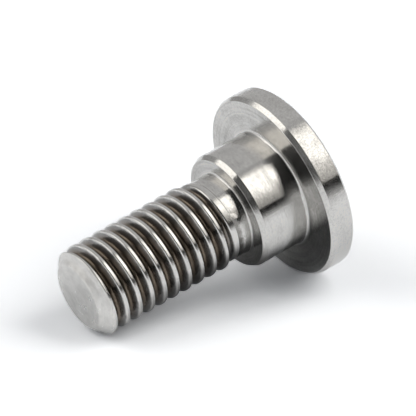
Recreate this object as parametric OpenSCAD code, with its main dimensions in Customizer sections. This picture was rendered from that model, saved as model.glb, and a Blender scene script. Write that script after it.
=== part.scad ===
// Shoulder bolt for fastening a brake disc to its wheel hub.
// It stands on its head: the head's outer face is on z = 0, its centre is the origin, and +Z runs to the thread's tip.

/* [Head] */
// Diameter of the head
head_d = 16.4; // [14:0.1:22]
// Thickness of the head, from its outer face to its underside
head_h = 2.3; // [1.8:0.1:4]
// Width across the radius of the chamfer at the underside's edge
head_chamfer_w = 0.25; // [0.1:0.05:0.6]
// Height of that chamfer
head_chamfer_h = 0.4; // [0.1:0.05:0.8]
// Edge break round the outer face
head_break = 0.2; // [0.05:0.05:0.5]

/* [Drive] */
// Width across flats of the hexagon socket
socket_af = 6; // [5:0.5:6.5]
// Depth of the hexagon's flats
socket_depth = 4.3; // [2:0.1:4.8]
// How far the lead-in chamfer opens past the hexagon's corners, on the radius
socket_lead = 0.25; // [0.1:0.05:0.5]
// Angle of the cone at the socket's bottom
socket_cone_angle = 120; // [90:5:150]

/* [Shoulder] */
// Diameter of the ground shoulder that centres the disc
shoulder_d = 10.2; // [9.5:0.1:13]
// Length of the shoulder, from the head's underside to its end face
shoulder_h = 4.65; // [3:0.05:8]
// Width across the radius of the chamfer at the shoulder's end
shoulder_chamfer_w = 0.25; // [0.1:0.05:0.5]
// Height of that chamfer
shoulder_chamfer_h = 0.45; // [0.1:0.05:1]
// Radius of the fillet where the shoulder meets the head
shoulder_fillet = 0.2; // [0.1:0.05:0.5]

/* [Neck] */
// Diameter of the plain neck between the shoulder and the thread
neck_d = 7.2; // [7:0.05:7.6]
// Length of the neck, from the shoulder's end face to the thread
neck_h = 1.4; // [0.8:0.1:4]
// Radius of the fillet where the neck meets the shoulder
neck_fillet = 0.4; // [0.1:0.05:0.6]

/* [Thread] */
// Diameter over the rolled crests
thread_d = 7.8; // [7.75:0.01:7.97]
// Pitch of the thread
thread_pitch = 1.25; // [1:0.05:1.25]
// Length below the head's underside, to the tip
under_head = 19.7; // [16:0.1:40]
// Rounding radius of the crests
crest_radius = 0.22; // [0.15:0.01:0.24]
// Rounding radius of the roots
root_radius = 0.2; // [0.15:0.01:0.22]
// Angle between the two flanks of the thread
flank_angle = 60; // [55:1:60]
// Length over which the thread fades into the neck
runout = 1.1; // [0.6:0.1:2]
// Steps round one turn of the thread
turn_steps = 44; // [24:2:60]

/* [Tip] */
// Diameter of the flat at the tip
tip_flat_d = 5.7; // [4.5:0.1:6.2]
// Height of the chamfer at the tip
tip_chamfer_h = 0.98; // [0.5:0.02:1.5]

/* [Hidden] */
$fn = 96;

// How far one shape reaches into the next, so that they join without a shared face
overlap = 0.5;
// How far the thread's core lies under the neck's surface where the two join
core_step = 0.03;

shoulder_z = head_h + shoulder_h;
neck_z = shoulder_z + neck_h;
tip_z = head_h + under_head;
neck_r = neck_d / 2;
core_r = neck_r - core_step;
crest_r = thread_d / 2;
tip_flat_r = tip_flat_d / 2;

// One pitch of the thread, from a crest to the next: a crest arc, a flank, a root arc and a flank.
// An arc ends where it is square to the flank, which is arc_end degrees from its middle.
arc_end = 90 - flank_angle / 2;
crest_half = crest_radius * sin(arc_end);
root_half = root_radius * sin(arc_end);
crest_drop = crest_radius * (1 - cos(arc_end));
root_rise = root_radius * (1 - cos(arc_end));
flank_half = thread_pitch / 2 - crest_half - root_half;
root_r = crest_r - crest_drop - root_rise - flank_half / tan(flank_angle / 2);
arc_steps = [-1, -0.5, 0, 0.5, 1];
crest_rows = [for (k = arc_steps)
    [crest_radius * sin(k * arc_end), crest_r - crest_radius * (1 - cos(k * arc_end))]];
root_rows = [for (k = arc_steps)
    [thread_pitch / 2 + root_radius * sin(k * arc_end), root_r + root_radius * (1 - cos(k * arc_end))]];
pitch_rows = concat(crest_rows, root_rows);
rows_a_pitch = len(pitch_rows);

// The thread's surface is a net of rows that climb with the helix and columns at equal angles.
net_z0 = neck_z - overlap;
net_pitches = ceil((tip_z - net_z0) / thread_pitch) + 2;
net_rows = rows_a_pitch * net_pitches;
net_margin = 0.02;

// Share of the full thread at a height: none at the neck, all of it above the run-out
function fade(z) =
    let (t = min(1, max(0, (z - neck_z) / runout)))
    t * t * (3 - 2 * t);

// Radius of the tip's cone at a height
function tip_cone(z) = tip_flat_r + (tip_z - z) * (crest_r - tip_flat_r) / tip_chamfer_h;

// Height and radius of the net at a row and a column. The rows start one pitch under the net's lower end.
function net_height(row, column) =
    net_z0 + thread_pitch * (floor(row / rows_a_pitch) - 1 + column / turn_steps) + pitch_rows[row % rows_a_pitch][0];
function net_radius(row, z) =
    min(tip_cone(z), core_r + (pitch_rows[row % rows_a_pitch][1] - core_r) * fade(z));
function net_point(row, column) =
    let (z = net_height(row, column), a = 360 * column / turn_steps, r = net_radius(row, z))
    [r * cos(a), r * sin(a), z];

// The rows of a column that lie between the net's two flat ends
function column_rows(column) =
    [for (row = [0 : net_rows - 1])
        let (z = net_height(row, column))
        if (z > net_z0 + net_margin && z < tip_z - net_margin) row];

// Number of a point in the net. A column one full turn on is the first column, a pitch higher.
function net_index(row, column) =
    column < turn_steps ? column * net_rows + row : net_index(row + rows_a_pitch, column - turn_steps);

function ring_point(radius, z, column) =
    [radius * cos(360 * column / turn_steps), radius * sin(360 * column / turn_steps), z];

module thread() {
    low_ring = turn_steps * net_rows;
    high_ring = low_ring + turn_steps;
    spans = [for (column = [0 : turn_steps])
        let (rows = column < turn_steps ? column_rows(column) : column_rows(0))
        column < turn_steps ? [rows[0], rows[len(rows) - 1]]
            : [rows[0] - rows_a_pitch, rows[len(rows) - 1] - rows_a_pitch]];
    points = concat(
        [for (column = [0 : turn_steps - 1], row = [0 : net_rows - 1]) net_point(row, column)],
        [for (column = [0 : turn_steps - 1]) ring_point(core_r, net_z0, column)],
        [for (column = [0 : turn_steps - 1]) ring_point(tip_flat_r, tip_z, column)]
    );
    walls = [for (column = [0 : turn_steps - 1])
        let (next = column + 1, next_ring = next % turn_steps,
             low = spans[column][0], high = spans[column][1],
             next_low = spans[next][0], next_high = spans[next][1])
        each concat(
            [for (row = [low : high - 1]) if (row < next_high)
                each [[net_index(row, column), net_index(row + 1, column), net_index(row, next)],
                      [net_index(row + 1, column), net_index(row + 1, next), net_index(row, next)]]],
            [for (row = [next_low : low - 1])
                [net_index(low, column), net_index(row + 1, next), net_index(row, next)]],
            [for (row = [next_high : high - 1])
                [net_index(row, column), net_index(row + 1, column), net_index(next_high, next)]],
            [[low_ring + column, net_index(low, column), net_index(next_low, next)],
             [low_ring + column, net_index(next_low, next), low_ring + next_ring],
             [net_index(high, column), high_ring + column, net_index(next_high, next)],
             [high_ring + column, high_ring + next_ring, net_index(next_high, next)]]
        )];
    low_cap = [[for (column = [0 : turn_steps - 1]) low_ring + column]];
    high_cap = [[for (column = [turn_steps - 1 : -1 : 0]) high_ring + column]];
    polyhedron(points, concat(walls, low_cap, high_cap), convexity = 12);
}

// Outline of the head, shoulder and neck, on one side of the axis, without the fillets
module turned_outline() {
    polygon([
        [0, 0],
        [head_d / 2 - head_break, 0],
        [head_d / 2, head_break],
        [head_d / 2, head_h - head_chamfer_h],
        [head_d / 2 - head_chamfer_w, head_h],
        [shoulder_d / 2, head_h],
        [shoulder_d / 2, shoulder_z - shoulder_chamfer_h],
        [shoulder_d / 2 - shoulder_chamfer_w, shoulder_z],
        [neck_r, shoulder_z],
        [neck_r, neck_z],
        [0, neck_z]
    ]);
}

// A concave fillet in the corner at [r, z], between a face that looks up and a wall that looks outwards
module corner_fillet(r, z, radius) {
    translate([r, z])
        difference() {
            translate([-radius / 2, -radius / 2])
                square(radius * 1.5);
            translate([radius, radius])
                circle(radius);
        }
}

module turned_body() {
    rotate_extrude()
        union() {
            turned_outline();
            corner_fillet(shoulder_d / 2, head_h, shoulder_fillet);
            corner_fillet(neck_r, shoulder_z, neck_fillet);
        }
}

module socket() {
    corner_r = socket_af / 2 / cos(30);
    lead_r = corner_r + socket_lead;
    cone_h = socket_af / 2 / tan(socket_cone_angle / 2);
    translate([0, 0, -overlap])
        linear_extrude(socket_depth + overlap)
            circle(r = corner_r, $fn = 6);
    translate([0, 0, -overlap])
        cylinder(h = socket_lead + overlap, r1 = lead_r + overlap, r2 = corner_r);
    translate([0, 0, socket_depth - net_margin])
        cylinder(h = cone_h, r1 = socket_af / 2, r2 = 0);
}

module rotor_bolt() {
    color([0.72, 0.72, 0.7])
        difference() {
            union() {
                turned_body();
                thread();
            }
            socket();
        }
}

rotor_bolt();
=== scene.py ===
"""A shoulder bolt for a brake disc, lying on a white table under soft studio light."""
import math

import bpy
from mathutils import Matrix, Vector


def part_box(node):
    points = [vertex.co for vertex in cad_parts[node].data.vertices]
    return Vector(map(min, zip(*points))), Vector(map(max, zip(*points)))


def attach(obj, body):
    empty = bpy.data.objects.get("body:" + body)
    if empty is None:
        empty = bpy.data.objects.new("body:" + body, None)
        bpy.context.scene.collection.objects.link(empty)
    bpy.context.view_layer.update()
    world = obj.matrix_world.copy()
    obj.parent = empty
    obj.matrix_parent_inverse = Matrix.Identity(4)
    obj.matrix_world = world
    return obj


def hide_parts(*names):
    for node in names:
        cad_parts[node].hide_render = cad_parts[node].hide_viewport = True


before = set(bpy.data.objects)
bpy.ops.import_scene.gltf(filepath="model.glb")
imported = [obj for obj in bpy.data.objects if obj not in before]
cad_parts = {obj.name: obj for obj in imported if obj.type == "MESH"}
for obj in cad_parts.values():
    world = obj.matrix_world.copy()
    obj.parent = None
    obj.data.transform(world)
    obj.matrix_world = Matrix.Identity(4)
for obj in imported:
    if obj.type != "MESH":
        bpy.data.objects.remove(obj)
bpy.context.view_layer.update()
MM = 0.001

# Sizes of the bolt, in millimetres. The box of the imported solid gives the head's radius and the whole length.
high_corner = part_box("rotor_bolt")[1]
HEAD_R = high_corner.x / MM
LENGTH = high_corner.z / MM
HEAD_H = 2.3
HEAD_BREAK = 0.2
HEAD_CHAMFER_W = 0.25
HEAD_CHAMFER_H = 0.4
SOCKET_FLATS = 6.0
SOCKET_DEPTH = 4.3
SOCKET_LEAD = 0.25
SOCKET_CONE_ANGLE = math.radians(120)
SOCKET_CONE_LEDGE = 0.02
SOCKET_CONE_R = SOCKET_FLATS / 2 - SOCKET_CONE_LEDGE
SOCKET_CONE_H = SOCKET_CONE_R / math.tan(SOCKET_CONE_ANGLE / 2)
SHOULDER_R = 5.1
SHOULDER_END = 6.95
SHOULDER_CHAMFER_W = 0.25
SHOULDER_CHAMFER_H = 0.45
SHOULDER_FILLET = 0.3
NECK_R = 3.6
NECK_END = 8.35
NECK_FILLET = 0.2
CREST_R = 3.9
PITCH = 1.25
CREST_FLAT = 0.19
CREST_RADIUS = 0.08
CREST_SLANT = 0.05
ROOT_RADIUS = 0.2
HALF_FLANK = math.radians(30)
RIDGE_START = NECK_END + 0.35
RIDGE_END = NECK_END + 1.25
GROOVE_START = NECK_END + 0.3
GROOVE_END = NECK_END + 0.6
THREAD_OVERLAP = 0.5
THREAD_END_GAP = 0.3
TIP_FLAT_R = 2.85
TIP_CHAMFER_H = 0.98
TIP_CONE_SLOPE = (CREST_R - TIP_FLAT_R) / TIP_CHAMFER_H
TIP_CONE_ROUND = 0.04
TIP_EDGE_ROUND = 0.3
EDGE_ROUND = 0.05

# Low ledge on the neck along the first turn, with its height, half its width and the widths of its two edges
LEDGE_HEIGHT = 0.03
LEDGE_HALF = 0.33
LEDGE_LOW_EDGE = 0.04
LEDGE_HIGH_EDGE = 0.1

# Last ridge, pushed up on the tip's cone, and last groove, which is filled out between two heights
END_RIDGE_DROP = 0.15
END_RIDGE_WIDTH = 0.16
END_RIDGE_FADE = LENGTH - 0.55
LAST_GROOVE_START = LENGTH - 1.1
LAST_GROOVE_END = LENGTH - 0.65

# Light. The panels stand PANEL_DISTANCE metres away and FILL is the strength of the world as light.
PANEL_DISTANCE = 0.7
FILL = 0.03
WARM = (1, 0.975, 0.93, 1)
NEUTRAL = (1, 1, 1, 1)
COOL = (0.95, 0.98, 1.03, 1)

# Table: its size in metres, how pale it is as light and how pale where it is seen
TABLE_SIZE = 1.2
TABLE_PALE = 0.9
TABLE_WHITE = 1.95

# Table as the steel mirrors it: MIRRORED of its white, a painted shadow in an oval under the bolt, painted
# shade far right.
# The oval's middle, half length and half width, and the start and end of the far right, are in millimetres.
MIRRORED = 0.94
UNDER_MIDDLE = 8.5
UNDER_LENGTH = 14.0
UNDER_WIDTH = 9.5
UNDER_CORE = 0.25
UNDER_SHADE = 0.8
FAR_RIGHT_START = 25.0
FAR_RIGHT_END = 115.0
FAR_RIGHT_SHADE = 0.26

# Resolution of the mesh. COLUMNS is a multiple of six, so that the socket's corners fall on columns.
COLUMNS = 144
ROWS_A_PITCH = 30
CREST_CROWDING = 0.45
SPARE_TURNS = 3
ARC_STEP = math.radians(12)
FEWEST_ARC_STEPS = 3
ARC_MARGIN = 0.5
LONGEST_STEP = 0.6
END_MARGIN = 0.015
CENTRE_R = 0.1
PANEL_STEPS = 8

# Rings of the socket: shares of the cone's radius, depths of the walls and shares of the lead-in
CONE_RINGS = (0.08, 0.4, 0.7, 0.98, 1.0)
WALL_RINGS = (SOCKET_DEPTH, SOCKET_DEPTH - 0.03, SOCKET_DEPTH * 0.6)
LEAD_RINGS = (0, 0.05, 0.5, 0.95)

# How the bolt lies: on the head's rim and the tip's crest, turned about the upright and about its own axis
RIM_Z = HEAD_H - HEAD_CHAMFER_H
TIP_CREST_Z = LENGTH - TIP_CHAMFER_H
LIE_TILT = math.atan((HEAD_R - CREST_R) / (TIP_CREST_Z - RIM_Z))
LIE_HEADING = math.radians(-144.6)
LIE_SPIN = math.radians(-120.25)

# Camera, in the table's frame: its angle above the table, its distance, and its aim beside the head's centre
CAMERA_HEIGHT = math.radians(26.8)
CAMERA_DISTANCE = 290.7 * MM
AIM_LEFT = 6.87 * MM
AIM_BELOW = 2.64 * MM
LENS = 302.9
SENSOR = 36.0


def table_frame():
    """Matrix from the table's frame, whose X is the camera's right and Z is up, to the bolt's frame."""
    lie = (
        Matrix.Rotation(LIE_HEADING, 3, "Z")
        @ Matrix.Rotation(math.pi / 2 + LIE_TILT, 3, "Y")
        @ Matrix.Rotation(LIE_SPIN, 3, "Z")
    )
    turn = lie.transposed()
    drop = (HEAD_R * math.cos(LIE_TILT) + RIM_Z * math.sin(LIE_TILT)) * MM
    foot = turn @ Vector((0, 0, -drop))
    return Matrix.Translation(foot) @ turn.to_4x4()


TABLE = table_frame()


def towards(azimuth, height):
    """Unit vector in the table's frame. Azimuth 0 is towards the camera and 90 degrees is to its right."""
    a, h = math.radians(azimuth), math.radians(height)
    return Vector((math.sin(a) * math.cos(h), -math.cos(a) * math.cos(h), math.sin(h)))


def facing(location, target):
    """Matrix of a camera that stands at location, level, and looks at target."""
    back = (location - target).normalized()
    right = Vector((0, 0, 1)).cross(back).normalized()
    turn = Matrix((right, back.cross(right), back)).transposed()
    return Matrix.Translation(location) @ turn.to_4x4()


def add_camera():
    data = bpy.data.cameras.new("camera")
    data.sensor_width = SENSOR
    data.lens = LENS
    data.clip_start = 0.01
    data.clip_end = 10
    camera = bpy.data.objects.new("camera", data)
    bpy.context.scene.collection.objects.link(camera)
    back = towards(0, math.degrees(CAMERA_HEIGHT))
    head_centre = TABLE.inverted() @ Vector((0, 0, HEAD_BREAK * MM))
    level = facing(back, Vector((0, 0, 0))).to_3x3()
    aim = head_centre + level @ Vector((-AIM_LEFT, -AIM_BELOW, 0))
    camera.matrix_world = TABLE @ facing(aim + back * CAMERA_DISTANCE, aim)
    bpy.context.scene.camera = camera


# Outline of the turned surfaces

def rounded_outline(corners):
    """Points of an outline through corners (radius, height, rounding), each corner rounded by an arc."""
    points = [Vector(corners[0][:2])]
    for before, corner, after in zip(corners, corners[1:], corners[2:]):
        here = Vector(corner[:2])
        into = (Vector(before[:2]) - here).normalized()
        out = (Vector(after[:2]) - here).normalized()
        half = into.angle(out) / 2
        rounding = corner[2]
        if rounding == 0:
            points.append(here)
            continue
        reach = rounding / math.tan(half)
        centre = here + (into + out).normalized() * rounding / math.sin(half)
        start, end = here + into * reach, here + out * reach
        turn = math.pi - 2 * half
        count = max(FEWEST_ARC_STEPS, math.ceil(turn / ARC_STEP))
        first, last = start - centre, end - centre
        sweep = first.angle_signed(last)
        points.append(start + into * rounding * ARC_MARGIN)
        for k in range(count + 1):
            angle = -sweep * k / count
            spoke = Vector((
                first.x * math.cos(angle) - first.y * math.sin(angle),
                first.x * math.sin(angle) + first.y * math.cos(angle),
            ))
            points.append(centre + spoke)
        points.append(end + out * rounding * ARC_MARGIN)
    points.append(Vector(corners[-1][:2]))
    return split_long(points)


def split_long(points):
    """The same points with more of them on the long stretches."""
    out = [points[0]]
    for a, b in zip(points, points[1:]):
        count = max(1, math.ceil((b - a).length / LONGEST_STEP))
        out += [a.lerp(b, k / count) for k in range(1, count + 1)]
    return out


def hexagon_radius(angle):
    """Radius of the socket's hexagon at an angle. A corner lies at angle 0."""
    sector = math.pi / 3
    return SOCKET_FLATS / 2 / math.cos(angle % sector - sector / 2)


def socket_rings():
    """Rings of the socket from its bottom to its mouth, each a list of (radius, height) round the axis."""
    hexagon = [hexagon_radius(2 * math.pi * c / COLUMNS) for c in range(COLUMNS)]
    mouth_r = max(hexagon) + SOCKET_LEAD
    rings = []
    for share in CONE_RINGS:
        rings.append([(SOCKET_CONE_R * share, SOCKET_DEPTH + SOCKET_CONE_H * (1 - share))] * COLUMNS)
    for depth in WALL_RINGS:
        rings.append([(r, depth) for r in hexagon])
    for share in LEAD_RINGS:
        rings.append([(r + (mouth_r - r) * share, (mouth_r - r) * (1 - share)) for r in hexagon])
    return rings, mouth_r


def body_outline(mouth_r):
    return rounded_outline([
        (mouth_r, 0, 0),
        (HEAD_R - HEAD_BREAK, 0, EDGE_ROUND),
        (HEAD_R, HEAD_BREAK, EDGE_ROUND),
        (HEAD_R, RIM_Z, EDGE_ROUND),
        (HEAD_R - HEAD_CHAMFER_W, HEAD_H, EDGE_ROUND),
        (SHOULDER_R, HEAD_H, SHOULDER_FILLET),
        (SHOULDER_R, SHOULDER_END - SHOULDER_CHAMFER_H, EDGE_ROUND),
        (SHOULDER_R - SHOULDER_CHAMFER_W, SHOULDER_END, EDGE_ROUND),
        (NECK_R, SHOULDER_END, NECK_FILLET),
        (NECK_R, NECK_END - END_MARGIN, 0),
    ])


# Thread

def thread_profile(x):
    """Radius of the full thread at a distance x along the axis from the middle of a crest."""
    arc_end = math.pi / 2 - HALF_FLANK
    flat_half = CREST_FLAT / 2
    crest_half = flat_half + CREST_RADIUS * math.sin(arc_end)
    root_half = ROOT_RADIUS * math.sin(arc_end)
    flank = PITCH / 2 - crest_half - root_half
    flank_top = CREST_R - CREST_RADIUS * (1 - math.cos(arc_end))
    flank_foot = flank_top - flank / math.tan(HALF_FLANK)
    root_r = flank_foot - ROOT_RADIUS * (1 - math.cos(arc_end))
    across = abs(x)
    slant = CREST_SLANT * min(max(flat_half - x, 0), 2 * flat_half) if across < crest_half else 0
    if across < flat_half:
        return CREST_R - slant
    if across < crest_half:
        return CREST_R - CREST_RADIUS + math.sqrt(CREST_RADIUS**2 - (across - flat_half) ** 2) - slant
    if across < crest_half + flank:
        return flank_top - (across - crest_half) / math.tan(HALF_FLANK)
    short = PITCH / 2 - across
    return root_r + ROOT_RADIUS - math.sqrt(max(0, ROOT_RADIUS**2 - short**2))


def smooth_step(low, high, value):
    t = min(1, max(0, (value - low) / (high - low)))
    return t * t * (3 - 2 * t)


def row_offset(row):
    """Distance along the axis of a net row from the crest of its turn. The rows lie closer at the crest."""
    t = row / ROWS_A_PITCH
    return PITCH * (t - CREST_CROWDING * math.sin(2 * math.pi * t) / (2 * math.pi))


def tip_cone(z):
    return TIP_FLAT_R + (LENGTH - z) * TIP_CONE_SLOPE


def end_ridge(x, z):
    """How far the last ridge stands out of the tip's cone, where the rolling has pushed it up."""
    ridge_z = z - x
    height = CREST_R - END_RIDGE_DROP * (ridge_z - TIP_CREST_Z) - tip_cone(z)
    fade = 1 - smooth_step(END_RIDGE_FADE, LENGTH - THREAD_END_GAP, ridge_z)
    fade *= 1 - smooth_step(END_RIDGE_FADE, LENGTH - THREAD_END_GAP - END_MARGIN, z)
    return max(0, height) * math.exp(-((x / END_RIDGE_WIDTH) ** 2)) * fade


def thread_radius(x, z):
    """Radius of the thread. Its first groove is cut into the neck before its first ridge rises over it."""
    ledge = smooth_step(-LEDGE_HALF, -LEDGE_HALF + LEDGE_LOW_EDGE, x)
    ledge -= smooth_step(LEDGE_HALF - LEDGE_HIGH_EDGE, LEDGE_HALF, x)
    low_r = NECK_R + LEDGE_HEIGHT * ledge
    rise = thread_profile(x) - low_r
    groove_z = z - x + math.copysign(PITCH / 2, x)
    if rise > 0:
        radius = low_r + rise * smooth_step(RIDGE_START, RIDGE_END, z - x)
    else:
        radius = low_r + rise * smooth_step(GROOVE_START, GROOVE_END, groove_z)
    filled = smooth_step(LAST_GROOVE_START, LAST_GROOVE_END, groove_z)
    radius += (CREST_R - radius) * filled
    over = radius - tip_cone(z)
    if over > TIP_CONE_ROUND:
        radius -= over
    elif over > -TIP_CONE_ROUND:
        blend = (over + TIP_CONE_ROUND) / (2 * TIP_CONE_ROUND)
        radius -= TIP_CONE_ROUND * blend * blend
    return radius + end_ridge(x, z)


def net_point(row, column):
    x = row_offset(row % ROWS_A_PITCH)
    turn = row // ROWS_A_PITCH + column / COLUMNS
    z = NECK_END - THREAD_OVERLAP - PITCH + PITCH * turn + x
    near = x - PITCH if x > PITCH / 2 else x
    return thread_radius(near, z), z


class Net:
    """Vertices and faces of the whole bolt, collected ring by ring."""

    def __init__(self):
        self.vertices = []
        self.faces = []
        self.flat = []
        self.finishes = []
        self.finish = "bored"

    def add(self, radius, z, column):
        angle = 2 * math.pi * column / COLUMNS
        self.vertices.append((radius * math.cos(angle) * MM, radius * math.sin(angle) * MM, z * MM))
        return len(self.vertices) - 1

    def ring(self, places):
        return [self.add(r, z, c) for c, (r, z) in enumerate(places)]

    def band(self, low, high, flat=False):
        for c in range(COLUMNS):
            n = (c + 1) % COLUMNS
            self.face(low[c], low[n], high[n], high[c], flat=flat)

    def fan(self, centre, ring, upwards):
        for c in range(COLUMNS):
            n = (c + 1) % COLUMNS
            self.face(*((ring[c], ring[n], centre) if upwards else (ring[n], ring[c], centre)))

    def face(self, *corners, flat=False):
        self.faces.append(corners)
        self.flat.append(flat)
        self.finishes.append(self.finish)


def column_rows(column, low_z, high_z, rows):
    inside = [r for r in range(rows) if low_z < net_point(r, column)[1] < high_z]
    return inside[0], inside[-1]


def add_thread(net, low_ring):
    """Adds the thread above low_ring and returns the ring at its upper end."""
    rows = ROWS_A_PITCH * (math.ceil((LENGTH - NECK_END) / PITCH) + SPARE_TURNS)
    top_z = LENGTH - THREAD_END_GAP - END_MARGIN
    spans = [column_rows(c, NECK_END, top_z, rows) for c in range(COLUMNS)]
    spans.append((spans[0][0] - ROWS_A_PITCH, spans[0][1] - ROWS_A_PITCH))
    index = [
        {r: net.add(*net_point(r, c), c) for r in range(spans[c][0], spans[c][1] + 1)} for c in range(COLUMNS)
    ]
    index.append({r - ROWS_A_PITCH: v for r, v in index[0].items()})
    high_ring = net.ring([(tip_cone(top_z + END_MARGIN), top_z + END_MARGIN)] * COLUMNS)
    for c in range(COLUMNS):
        here, there = index[c], index[c + 1]
        (low, high), (next_low, next_high) = spans[c], spans[c + 1]
        n = (c + 1) % COLUMNS
        net.face(low_ring[c], low_ring[n], there[next_low], here[low])
        for row in range(next_low, low):
            net.face(here[low], there[row], there[row + 1])
        for row in range(low, next_high):
            net.face(here[row], there[row], there[row + 1], here[row + 1])
        for row in range(next_high, high):
            net.face(here[row], there[next_high], here[row + 1])
        net.face(here[high], there[next_high], high_ring[n], high_ring[c])
    return high_ring


# A stretch of the outline is faced where it runs this many times further across than along the axis.
FACED_SLOPE = 4


def finish_between(start, end):
    """Finish of the turned surface between two points of the outline."""
    across, along = abs(end.x - start.x), abs(end.y - start.y)
    if across > FACED_SLOPE * along:
        return "faced"
    return "rim" if start.y < HEAD_H else "ground"


def build_mesh():
    net = Net()
    rings, mouth_r = socket_rings()
    made = [net.ring(places) for places in rings]
    net.fan(net.add(0, SOCKET_DEPTH + SOCKET_CONE_H, 0), made[0], upwards=False)
    hexagon_walls = range(len(CONE_RINGS), len(CONE_RINGS) + len(WALL_RINGS) + 1)
    for k in range(len(made) - 1):
        net.band(made[k], made[k + 1], flat=k in hexagon_walls)
    last = made[-1]
    before = Vector((mouth_r, 0))
    for point in body_outline(mouth_r):
        ring = net.ring([(point.x, point.y)] * COLUMNS)
        net.finish = finish_between(before, point)
        net.band(last, ring)
        last, before = ring, point
    net.finish = "rolled"
    last = add_thread(net, last)
    tip_low = LENGTH - THREAD_END_GAP
    tip = rounded_outline([
        (tip_cone(tip_low), tip_low, 0),
        (TIP_FLAT_R, LENGTH, TIP_EDGE_ROUND),
        (CENTRE_R, LENGTH, 0),
    ])
    net.finish = "tip"
    for point in tip[1:]:
        ring = net.ring([(point.x, point.y)] * COLUMNS)
        net.band(last, ring)
        last = ring
    net.fan(net.add(0, LENGTH, 0), last, upwards=True)
    mesh = bpy.data.meshes.new("bolt")
    mesh.from_pydata(net.vertices, [], net.faces)
    mesh.polygons.foreach_set("use_smooth", [not flat for flat in net.flat])
    for name, make in FINISHES.items():
        mesh.materials.append(make())
    order = list(FINISHES)
    mesh.polygons.foreach_set("material_index", [order.index(name) for name in net.finishes])
    mesh.update()
    return mesh


# Nodes

def new_material(name):
    material = bpy.data.materials.new(name)
    material.use_nodes = True
    nodes = material.node_tree.nodes
    nodes.clear()
    return material, nodes, material.node_tree.links


def put(links, value, socket):
    """Feeds a socket with another socket or with a constant."""
    if isinstance(value, bpy.types.NodeSocket):
        links.new(value, socket)
    else:
        socket.default_value = value


def new_math(nodes, links, operation, a, b):
    node = nodes.new("ShaderNodeMath")
    node.operation = operation
    put(links, a, node.inputs[0])
    put(links, b, node.inputs[1])
    return node.outputs[0]


def new_ramp(nodes, links, value, low, high, at_low=0.0, at_high=1.0):
    """Smooth change from at_low to at_high as the value goes from low to high."""
    node = nodes.new("ShaderNodeMapRange")
    node.interpolation_type = "SMOOTHSTEP"
    for place, source in enumerate((value, low, high, at_low, at_high)):
        put(links, source, node.inputs[place])
    return node.outputs["Result"]


# Steel. Depths are in millimetres: bright down to the first depth, dull at the second, brown at the third.
# Deeper is darker: painted shade in the grooves, with a brown residue at the roots.
STEEL = (0.63, 0.62, 0.6, 1)
# Painted shade: darker greys for the flanks and roots, and the root's brown is also a residue.
FLANK_SHADE = (0.245, 0.242, 0.24, 1)
ROOT_SHADE_AND_STAIN = (0.16, 0.13, 0.1, 1)
BRIGHT_DEPTH = 0.13
FLANK_DEPTH = 0.25
ROOT_DEPTH = 0.66
SHADE_AND_STAIN_DEPTH = 0.75
DULL_DEPTHS = (0.35, 0.65)
DULL_CONE_LENGTH = 0.3

# Patterns. The noise is stretched about its middle, and the lines run aslant where the surface is a cylinder.
NOISE_LOW = 0.28
NOISE_HIGH = 0.72
LINE_SLANT = 1.3
QUARTER_TURN = 0.25
MICRON = MM / 1000


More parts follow.
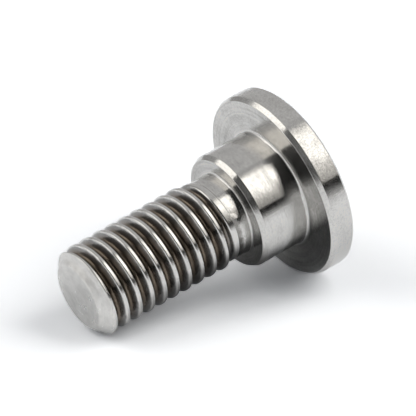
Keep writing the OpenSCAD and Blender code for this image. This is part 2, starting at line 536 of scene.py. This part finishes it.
class Finish:
    """One steel surface: its nodes, with the patterns that its colour, roughness and bump are made of."""

    def __init__(self, name):
        self.material, self.nodes, self.links = new_material(name)
        self.shader = self.nodes.new("ShaderNodeBsdfPrincipled")
        self.shader.inputs["Metallic"].default_value = 1
        out = self.nodes.new("ShaderNodeOutputMaterial")
        self.links.new(self.shader.outputs["BSDF"], out.inputs["Surface"])
        self.place = self.vector("SCALE", self.nodes.new("ShaderNodeTexCoord").outputs["Object"], 1 / MM)
        self.height = self.parts(self.place)[2]
        flat = self.vector("MULTIPLY", self.place, (1, 1, 0))
        self.radius = self.vector("LENGTH", flat)
        self.around = self.vector("NORMALIZE", flat)

    def put(self, value, socket):
        put(self.links, value, socket)

    def math(self, operation, a, b):
        return new_math(self.nodes, self.links, operation, a, b)

    def ramp(self, value, low, high):
        """Smooth change from 0 to 1 as the value goes from low to high."""
        return new_ramp(self.nodes, self.links, value, low, high)

    def vector(self, operation, a, b=None):
        node = self.nodes.new("ShaderNodeVectorMath")
        node.operation = operation
        self.put(a, node.inputs[0])
        if b is not None:
            self.put(b, node.inputs["Scale" if operation == "SCALE" else 1])
        return node.outputs["Value" if operation == "LENGTH" else "Vector"]

    def parts(self, vector):
        node = self.nodes.new("ShaderNodeSeparateXYZ")
        self.put(vector, node.inputs[0])
        return node.outputs

    def noise(self, vector, scale, detail):
        node = self.nodes.new("ShaderNodeTexNoise")
        self.put(vector, node.inputs["Vector"])
        node.inputs["Scale"].default_value = scale
        node.inputs["Detail"].default_value = detail
        return self.ramp(node.outputs[0], NOISE_LOW, NOISE_HIGH)

    def grain(self, size):
        """Grains of about this size in millimetres."""
        return self.noise(self.place, 1 / size, detail=1.0)

    def lines(self, width, turns):
        """Lines round the axis of about this width in millimetres. More turns give shorter lines."""
        node = self.nodes.new("ShaderNodeCombineXYZ")
        x, y, _ = self.parts(self.vector("SCALE", self.around, turns))
        slant = self.math("SUBTRACT", self.radius, self.math("MULTIPLY", self.height, LINE_SLANT))
        self.put(x, node.inputs[0])
        self.put(y, node.inputs[1])
        self.put(self.math("DIVIDE", slant, width), node.inputs[2])
        return self.noise(node.outputs[0], 1.0, detail=2.0)

    def total(self, *terms):
        """Sum of (pattern, amount) pairs."""
        result = None
        for pattern, amount in terms:
            part = self.math("MULTIPLY", pattern, amount)
            result = part if result is None else self.math("ADD", result, part)
        return result

    def shade(self, colour, loss):
        """Colour, darker where loss is high."""
        node = self.nodes.new("ShaderNodeMix")
        node.data_type = "RGBA"
        self.put(loss, node.inputs["Factor"])
        self.put(colour, node.inputs["A"])
        node.inputs["B"].default_value = (0, 0, 0, 1)
        return node.outputs["Result"]

    def finish(self, colour, roughness, height, anisotropy):
        """Colour and roughness sockets, and relief in thousandths of a millimetre."""
        self.put(colour, self.shader.inputs["Base Color"])
        self.put(roughness, self.shader.inputs["Roughness"])
        self.shader.inputs["Anisotropic"].default_value = anisotropy
        self.shader.inputs["Anisotropic Rotation"].default_value = QUARTER_TURN
        tangent = self.nodes.new("ShaderNodeTangent")
        tangent.direction_type = "RADIAL"
        tangent.axis = "Z"
        self.links.new(tangent.outputs["Tangent"], self.shader.inputs["Tangent"])
        bump = self.nodes.new("ShaderNodeBump")
        bump.inputs["Distance"].default_value = MICRON
        self.put(height, bump.inputs["Height"])
        self.links.new(bump.outputs["Normal"], self.shader.inputs["Normal"])
        return self.material


def rim_steel():
    """Head's rim: speckled, with short fine marks."""
    steel = Finish("rim_steel")
    grain = steel.grain(0.16)
    broad = steel.grain(1.6)
    marks = steel.lines(0.12, 9)
    spots = steel.ramp(steel.grain(0.28), 0.72, 0.9)
    loss = steel.total((grain, 0.12), (marks, 0.04), (spots, 0.05), (broad, 0.07))
    roughness = steel.math("ADD", 0.14, steel.total((broad, 0.06), (grain, 0.05)))
    height = steel.total((grain, 0.8), (marks, 0.4))
    return steel.finish(steel.shade(STEEL, loss), roughness, height, 0.88)


def ground_steel():
    """Shoulder and neck: fine lines round the axis, a few scratches and a little grain."""
    steel = Finish("ground_steel")
    fine = steel.lines(0.09, 5)
    wide = steel.lines(0.5, 1.5)
    broad = steel.grain(1.3)
    grain = steel.grain(0.15)
    scratches = steel.ramp(steel.lines(0.07, 14), 0.74, 0.9)
    loss = steel.total((fine, 0.07), (wide, 0.05), (grain, 0.08), (scratches, 0.1), (broad, 0.05))
    roughness = steel.math("ADD", 0.1, steel.total((broad, 0.05), (wide, 0.05)))
    height = steel.total((fine, 0.4), (grain, 0.5), (scratches, -0.5))
    return steel.finish(steel.shade(STEEL, loss), roughness, height, 0.9)


def faced_steel():
    """Flat faces: rings left by the turning tool."""
    steel = Finish("faced_steel")
    rings = steel.lines(0.11, 0.8)
    wide = steel.lines(0.6, 1.2)
    broad = steel.grain(1.8)
    grain = steel.grain(0.2)
    loss = steel.total((rings, 0.16), (wide, 0.12), (grain, 0.14), (broad, 0.1))
    roughness = steel.math("ADD", 0.11, steel.total((broad, 0.06), (wide, 0.05)))
    height = steel.total((rings, 0.5), (grain, 0.3))
    return steel.finish(steel.shade(STEEL, loss), roughness, height, 0.85)


def rolled_steel():
    """Thread: bright crests over grooves darkened with painted shade and a brown residue, and duller towards
    the tip.
    """
    steel = Finish("rolled_steel")
    grain = steel.grain(0.18)
    broad = steel.grain(1.0)
    marks = steel.lines(0.1, 4)
    full = steel.ramp(steel.height, GROOVE_END, RIDGE_END)
    crest = steel.math("ADD", NECK_R, steel.math("MULTIPLY", full, CREST_R - NECK_R))
    cone_drop = steel.math("MULTIPLY", steel.height, TIP_CONE_SLOPE)
    cone = steel.math("SUBTRACT", TIP_FLAT_R + LENGTH * TIP_CONE_SLOPE, cone_drop)
    depth = steel.math("SUBTRACT", steel.math("MINIMUM", crest, cone), steel.radius)
    uneven = steel.math("ADD", depth, steel.total((marks, 0.05), (broad, 0.05), (grain, 0.03)))
    # Painted shade: the colour darkens with depth into the grooves, to dull grey on the flanks and brown
    # residue at the roots.
    groove_shade_and_stain = steel.nodes.new("ShaderNodeValToRGB")
    steel.put(steel.math("DIVIDE", uneven, SHADE_AND_STAIN_DEPTH), groove_shade_and_stain.inputs["Fac"])
    stops = groove_shade_and_stain.color_ramp.elements
    stops[0].position = BRIGHT_DEPTH / SHADE_AND_STAIN_DEPTH
    stops[0].color = STEEL
    stops[1].position = ROOT_DEPTH / SHADE_AND_STAIN_DEPTH
    stops[1].color = ROOT_SHADE_AND_STAIN
    middle = stops.new(FLANK_DEPTH / SHADE_AND_STAIN_DEPTH)
    middle.color = FLANK_SHADE
    tip = steel.ramp(steel.height, TIP_CREST_Z, TIP_CREST_Z + DULL_CONE_LENGTH)
    groove = steel.ramp(depth, *DULL_DEPTHS)
    loss = steel.total((marks, 0.06), (grain, 0.06), (broad, 0.1))
    roughness = steel.math("ADD", 0.16, steel.total((groove, 0.1), (tip, 0.16), (broad, 0.06)))
    height = steel.total((grain, 0.5), (marks, 0.4))
    return steel.finish(steel.shade(groove_shade_and_stain.outputs["Color"], loss), roughness, height, 0.6)


def bored_steel():
    """Hexagon socket: duller walls with broaching marks."""
    steel = Finish("bored_steel")
    grain = steel.grain(0.12)
    broad = steel.grain(0.9)
    loss = steel.total((grain, 0.2), (broad, 0.25))
    roughness = steel.math("ADD", 0.3, steel.total((broad, 0.1), (grain, 0.08)))
    height = steel.total((grain, 0.8), (broad, 1.0))
    return steel.finish(steel.shade(STEEL, loss), roughness, height, 0.4)


def tip_steel():
    """Cut end of the thread: smooth but dull, with faint clouds."""
    steel = Finish("tip_steel")
    grain = steel.grain(0.2)
    broad = steel.grain(0.8)
    rings = steel.lines(0.3, 1.2)
    loss = steel.total((broad, 0.14), (grain, 0.04), (rings, 0.05))
    roughness = steel.math("ADD", 0.26, steel.total((broad, 0.1), (rings, 0.05)))
    height = steel.total((grain, 0.5), (broad, 2.0))
    return steel.finish(steel.shade(STEEL, loss), roughness, height, 0.3)


FINISHES = {
    "tip": tip_steel,
    "rim": rim_steel,
    "ground": ground_steel,
    "faced": faced_steel,
    "rolled": rolled_steel,
    "bored": bored_steel,
}


def add_bolt():
    bolt = bpy.data.objects.new("rotor_bolt_finish", build_mesh())
    bpy.context.scene.collection.objects.link(bolt)
    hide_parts("rotor_bolt")
    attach(bolt, "root")


# Studio

def seen_directly(nodes, links):
    """Socket that is 1 for what the camera sees, also by way of metal or glass, and 0 for light."""
    path = nodes.new("ShaderNodeLightPath").outputs
    mirrored = new_math(nodes, links, "MAXIMUM", path["Is Glossy Ray"], path["Is Transmission Ray"])
    seen = new_math(nodes, links, "MAXIMUM", path["Is Camera Ray"], mirrored)
    not_scattered = new_math(nodes, links, "LESS_THAN", path["Diffuse Depth"], 0.5)
    return new_math(nodes, links, "MULTIPLY", seen, not_scattered)


def mirrored_shade(nodes, links):
    """Colour of the table where it is seen. The steel mirrors it with a painted shadow under the bolt and
    painted shade far right.
    """
    place = nodes.new("ShaderNodeTexCoord").outputs["Object"]
    oval = nodes.new("ShaderNodeMapping")
    oval.vector_type = "TEXTURE"
    along = Vector((math.cos(LIE_HEADING), math.sin(LIE_HEADING), 0))
    oval.inputs["Location"].default_value = along * UNDER_MIDDLE * MM
    oval.inputs["Rotation"].default_value = (0, 0, LIE_HEADING)
    oval.inputs["Scale"].default_value = (UNDER_LENGTH * MM, UNDER_WIDTH * MM, 1)
    size = nodes.new("ShaderNodeVectorMath")
    size.operation = "LENGTH"
    links.new(place, oval.inputs["Vector"])
    links.new(oval.outputs["Vector"], size.inputs[0])
    # Painted shadow: darker in an oval under the bolt, only as the steel mirrors the table.
    under = new_ramp(nodes, links, size.outputs["Value"], UNDER_CORE, 1, 1 - UNDER_SHADE, MIRRORED)
    parts = nodes.new("ShaderNodeSeparateXYZ")
    links.new(place, parts.inputs[0])
    far_start, far_end = FAR_RIGHT_START * MM, FAR_RIGHT_END * MM
    # Painted shade: darker towards the far right, only as the steel mirrors the table.
    right = new_ramp(nodes, links, parts.outputs["X"], far_start, far_end, 1, 1 - FAR_RIGHT_SHADE)
    path = nodes.new("ShaderNodeLightPath")
    choice = nodes.new("ShaderNodeMix")
    choice.inputs["A"].default_value = 1
    links.new(new_math(nodes, links, "MULTIPLY", under, right), choice.inputs["B"])
    links.new(path.outputs["Is Glossy Ray"], choice.inputs["Factor"])
    colour = nodes.new("ShaderNodeVectorMath")
    colour.operation = "SCALE"
    colour.inputs[0].default_value = [TABLE_WHITE * part for part in COOL[:3]]
    links.new(choice.outputs["Result"], colour.inputs["Scale"])
    return colour.outputs["Vector"]


def table_material():
    """Matt white from above, brighter where it is seen than where it gives light, and clear from below."""
    material, nodes, links = new_material("table_white")
    out = nodes.new("ShaderNodeOutputMaterial")
    side = nodes.new("ShaderNodeNewGeometry")
    mix = nodes.new("ShaderNodeMixShader")
    matt = nodes.new("ShaderNodeBsdfDiffuse")
    clear = nodes.new("ShaderNodeBsdfTransparent")
    white = nodes.new("ShaderNodeMix")
    white.data_type = "RGBA"
    white.inputs["A"].default_value = [TABLE_PALE * part for part in COOL]
    links.new(mirrored_shade(nodes, links), white.inputs["B"])
    links.new(seen_directly(nodes, links), white.inputs["Factor"])
    links.new(white.outputs["Result"], matt.inputs["Color"])
    links.new(side.outputs["Backfacing"], mix.inputs["Fac"])
    links.new(matt.outputs["BSDF"], mix.inputs[1])
    links.new(clear.outputs["BSDF"], mix.inputs[2])
    links.new(mix.outputs["Shader"], out.inputs["Surface"])
    return material


def add_stage_piece(name, corners, faces, material):
    """A piece of the studio, with its corners in the table's frame."""
    mesh = bpy.data.meshes.new(name)
    mesh.from_pydata(corners, [], faces)
    mesh.materials.append(material)
    piece = bpy.data.objects.new(name, mesh)
    bpy.context.scene.collection.objects.link(piece)
    piece.matrix_world = TABLE
    return piece


def add_table():
    half = TABLE_SIZE / 2
    corners = [(-half, -half, 0), (half, -half, 0), (half, half, 0), (-half, half, 0)]
    add_stage_piece("table", corners, [(0, 1, 2, 3)], table_material())


def panel_material(name, foot_glow, top_glow, ramp_end, as_light, tint):
    """Glows from one grey at its foot to another. As light on the table it is as_light times as strong."""
    material, nodes, links = new_material(name)
    out = nodes.new("ShaderNodeOutputMaterial")
    glow = nodes.new("ShaderNodeEmission")
    place = nodes.new("ShaderNodeUVMap")
    parts = nodes.new("ShaderNodeSeparateXYZ")
    links.new(place.outputs["UV"], parts.inputs[0])
    grey = new_ramp(nodes, links, parts.outputs["Y"], 0, ramp_end, foot_glow, top_glow)
    share = new_ramp(nodes, links, seen_directly(nodes, links), 0, 1, as_light, 1)
    glow.inputs["Color"].default_value = tint
    links.new(new_math(nodes, links, "MULTIPLY", grey, share), glow.inputs["Strength"])
    links.new(glow.outputs["Emission"], out.inputs["Surface"])
    return material


def add_panel(
    name, left, right, foot, top, foot_glow, top_glow,
    ramp_end=1.0, lean=0.0, distance=PANEL_DISTANCE, as_light=1.0, tint=NEUTRAL,
):
    """A curved panel round the bolt, between two azimuths and two heights in degrees, hidden from the camera.

    It glows with foot_glow at its foot and with top_glow from ramp_end of its height upwards. Its left edge
    leans to the left by lean degrees.
    """
    shares = [k / PANEL_STEPS for k in range(PANEL_STEPS + 1)]
    places = [(u, v) for v in shares for u in shares]
    corners = []
    for u, v in places:
        start = left - lean * v
        corners.append(towards(start + (right - start) * u, foot + (top - foot) * v) * distance)
    row = PANEL_STEPS + 1
    low_corners = [j * row + k for j in range(PANEL_STEPS) for k in range(PANEL_STEPS)]
    faces = [(k, k + 1, k + row + 1, k + row) for k in low_corners]
    material = panel_material(name, foot_glow, top_glow, ramp_end, as_light, tint)
    panel = add_stage_piece(name, corners, faces, material)
    panel.visible_camera = False
    uv = panel.data.uv_layers.new(name="UVMap")
    for loop in panel.data.loops:
        uv.data[loop.index].uv = places[loop.vertex_index]


def add_world():
    """White where it is seen, mirrored or shown through glass, and faint as light, which the panels give."""
    world = bpy.data.worlds.new("studio")
    bpy.context.scene.world = world
    world.use_nodes = True
    nodes, links = world.node_tree.nodes, world.node_tree.links
    nodes.clear()
    out = nodes.new("ShaderNodeOutputWorld")
    fill = nodes.new("ShaderNodeBackground")
    fill.inputs["Color"].default_value = COOL
    fill.inputs["Strength"].default_value = FILL
    white = nodes.new("ShaderNodeBackground")
    white.inputs["Color"].default_value = NEUTRAL
    white.inputs["Strength"].default_value = 1
    mix = nodes.new("ShaderNodeMixShader")
    links.new(seen_directly(nodes, links), mix.inputs["Fac"])
    links.new(fill.outputs[0], mix.inputs[1])
    links.new(white.outputs[0], mix.inputs[2])
    links.new(mix.outputs[0], out.inputs["Surface"])


def add_studio():
    """World, table and panels: bright softboxes, dark flags that shade them off, pale walls and ceilings."""
    add_world()
    add_table()
    add_panel("softbox_right", 60, 116, 17, 75, 1.2, 1.9, 0.4, lean=10, tint=WARM)
    add_panel("softbox_right_edge", 60, 67, 17, 75, 1.6, 2.9, 0.6, lean=12, distance=0.69, tint=WARM)
    add_panel("flag_right", 25, 116, -2, 17, 0.62, 0.02, 0.72)
    add_panel("flag_camera", -3, 66, 16, 79, 0.005, 0.005, lean=53, distance=0.72, as_light=50)
    add_panel("flag_camera_left", -56, 20, 16, 79, 0.32, 0.1, 0.6, distance=0.74, as_light=1.2)
    add_panel("flag_camera_low", -38, 25, -2, 20, 0.8, 0.08, 0.6)
    add_panel("wall_back", 116, 205, 0, 80, 0.6, 0.65, as_light=0.3)
    add_panel("wall_left_back", -155, -120, 0, 60, 0.4, 0.46, as_light=0.1)
    add_panel("softbox_left", -118, -57, 26, 60, 1.9, 1.9, tint=WARM)
    add_panel("ceiling_left", -155, -52, 60, 80, 0.6, 0.6, as_light=0.3)
    add_panel("ceiling", -180, 180, 78, 90, 0.7, 0.7, as_light=0.3)
    add_panel("ceiling_right", 56, 140, 75, 82, 0.42, 0.5, distance=0.69, as_light=0.5)
    bpy.context.scene.view_settings.view_transform = "Standard"


add_camera()
add_bolt()
add_studio()
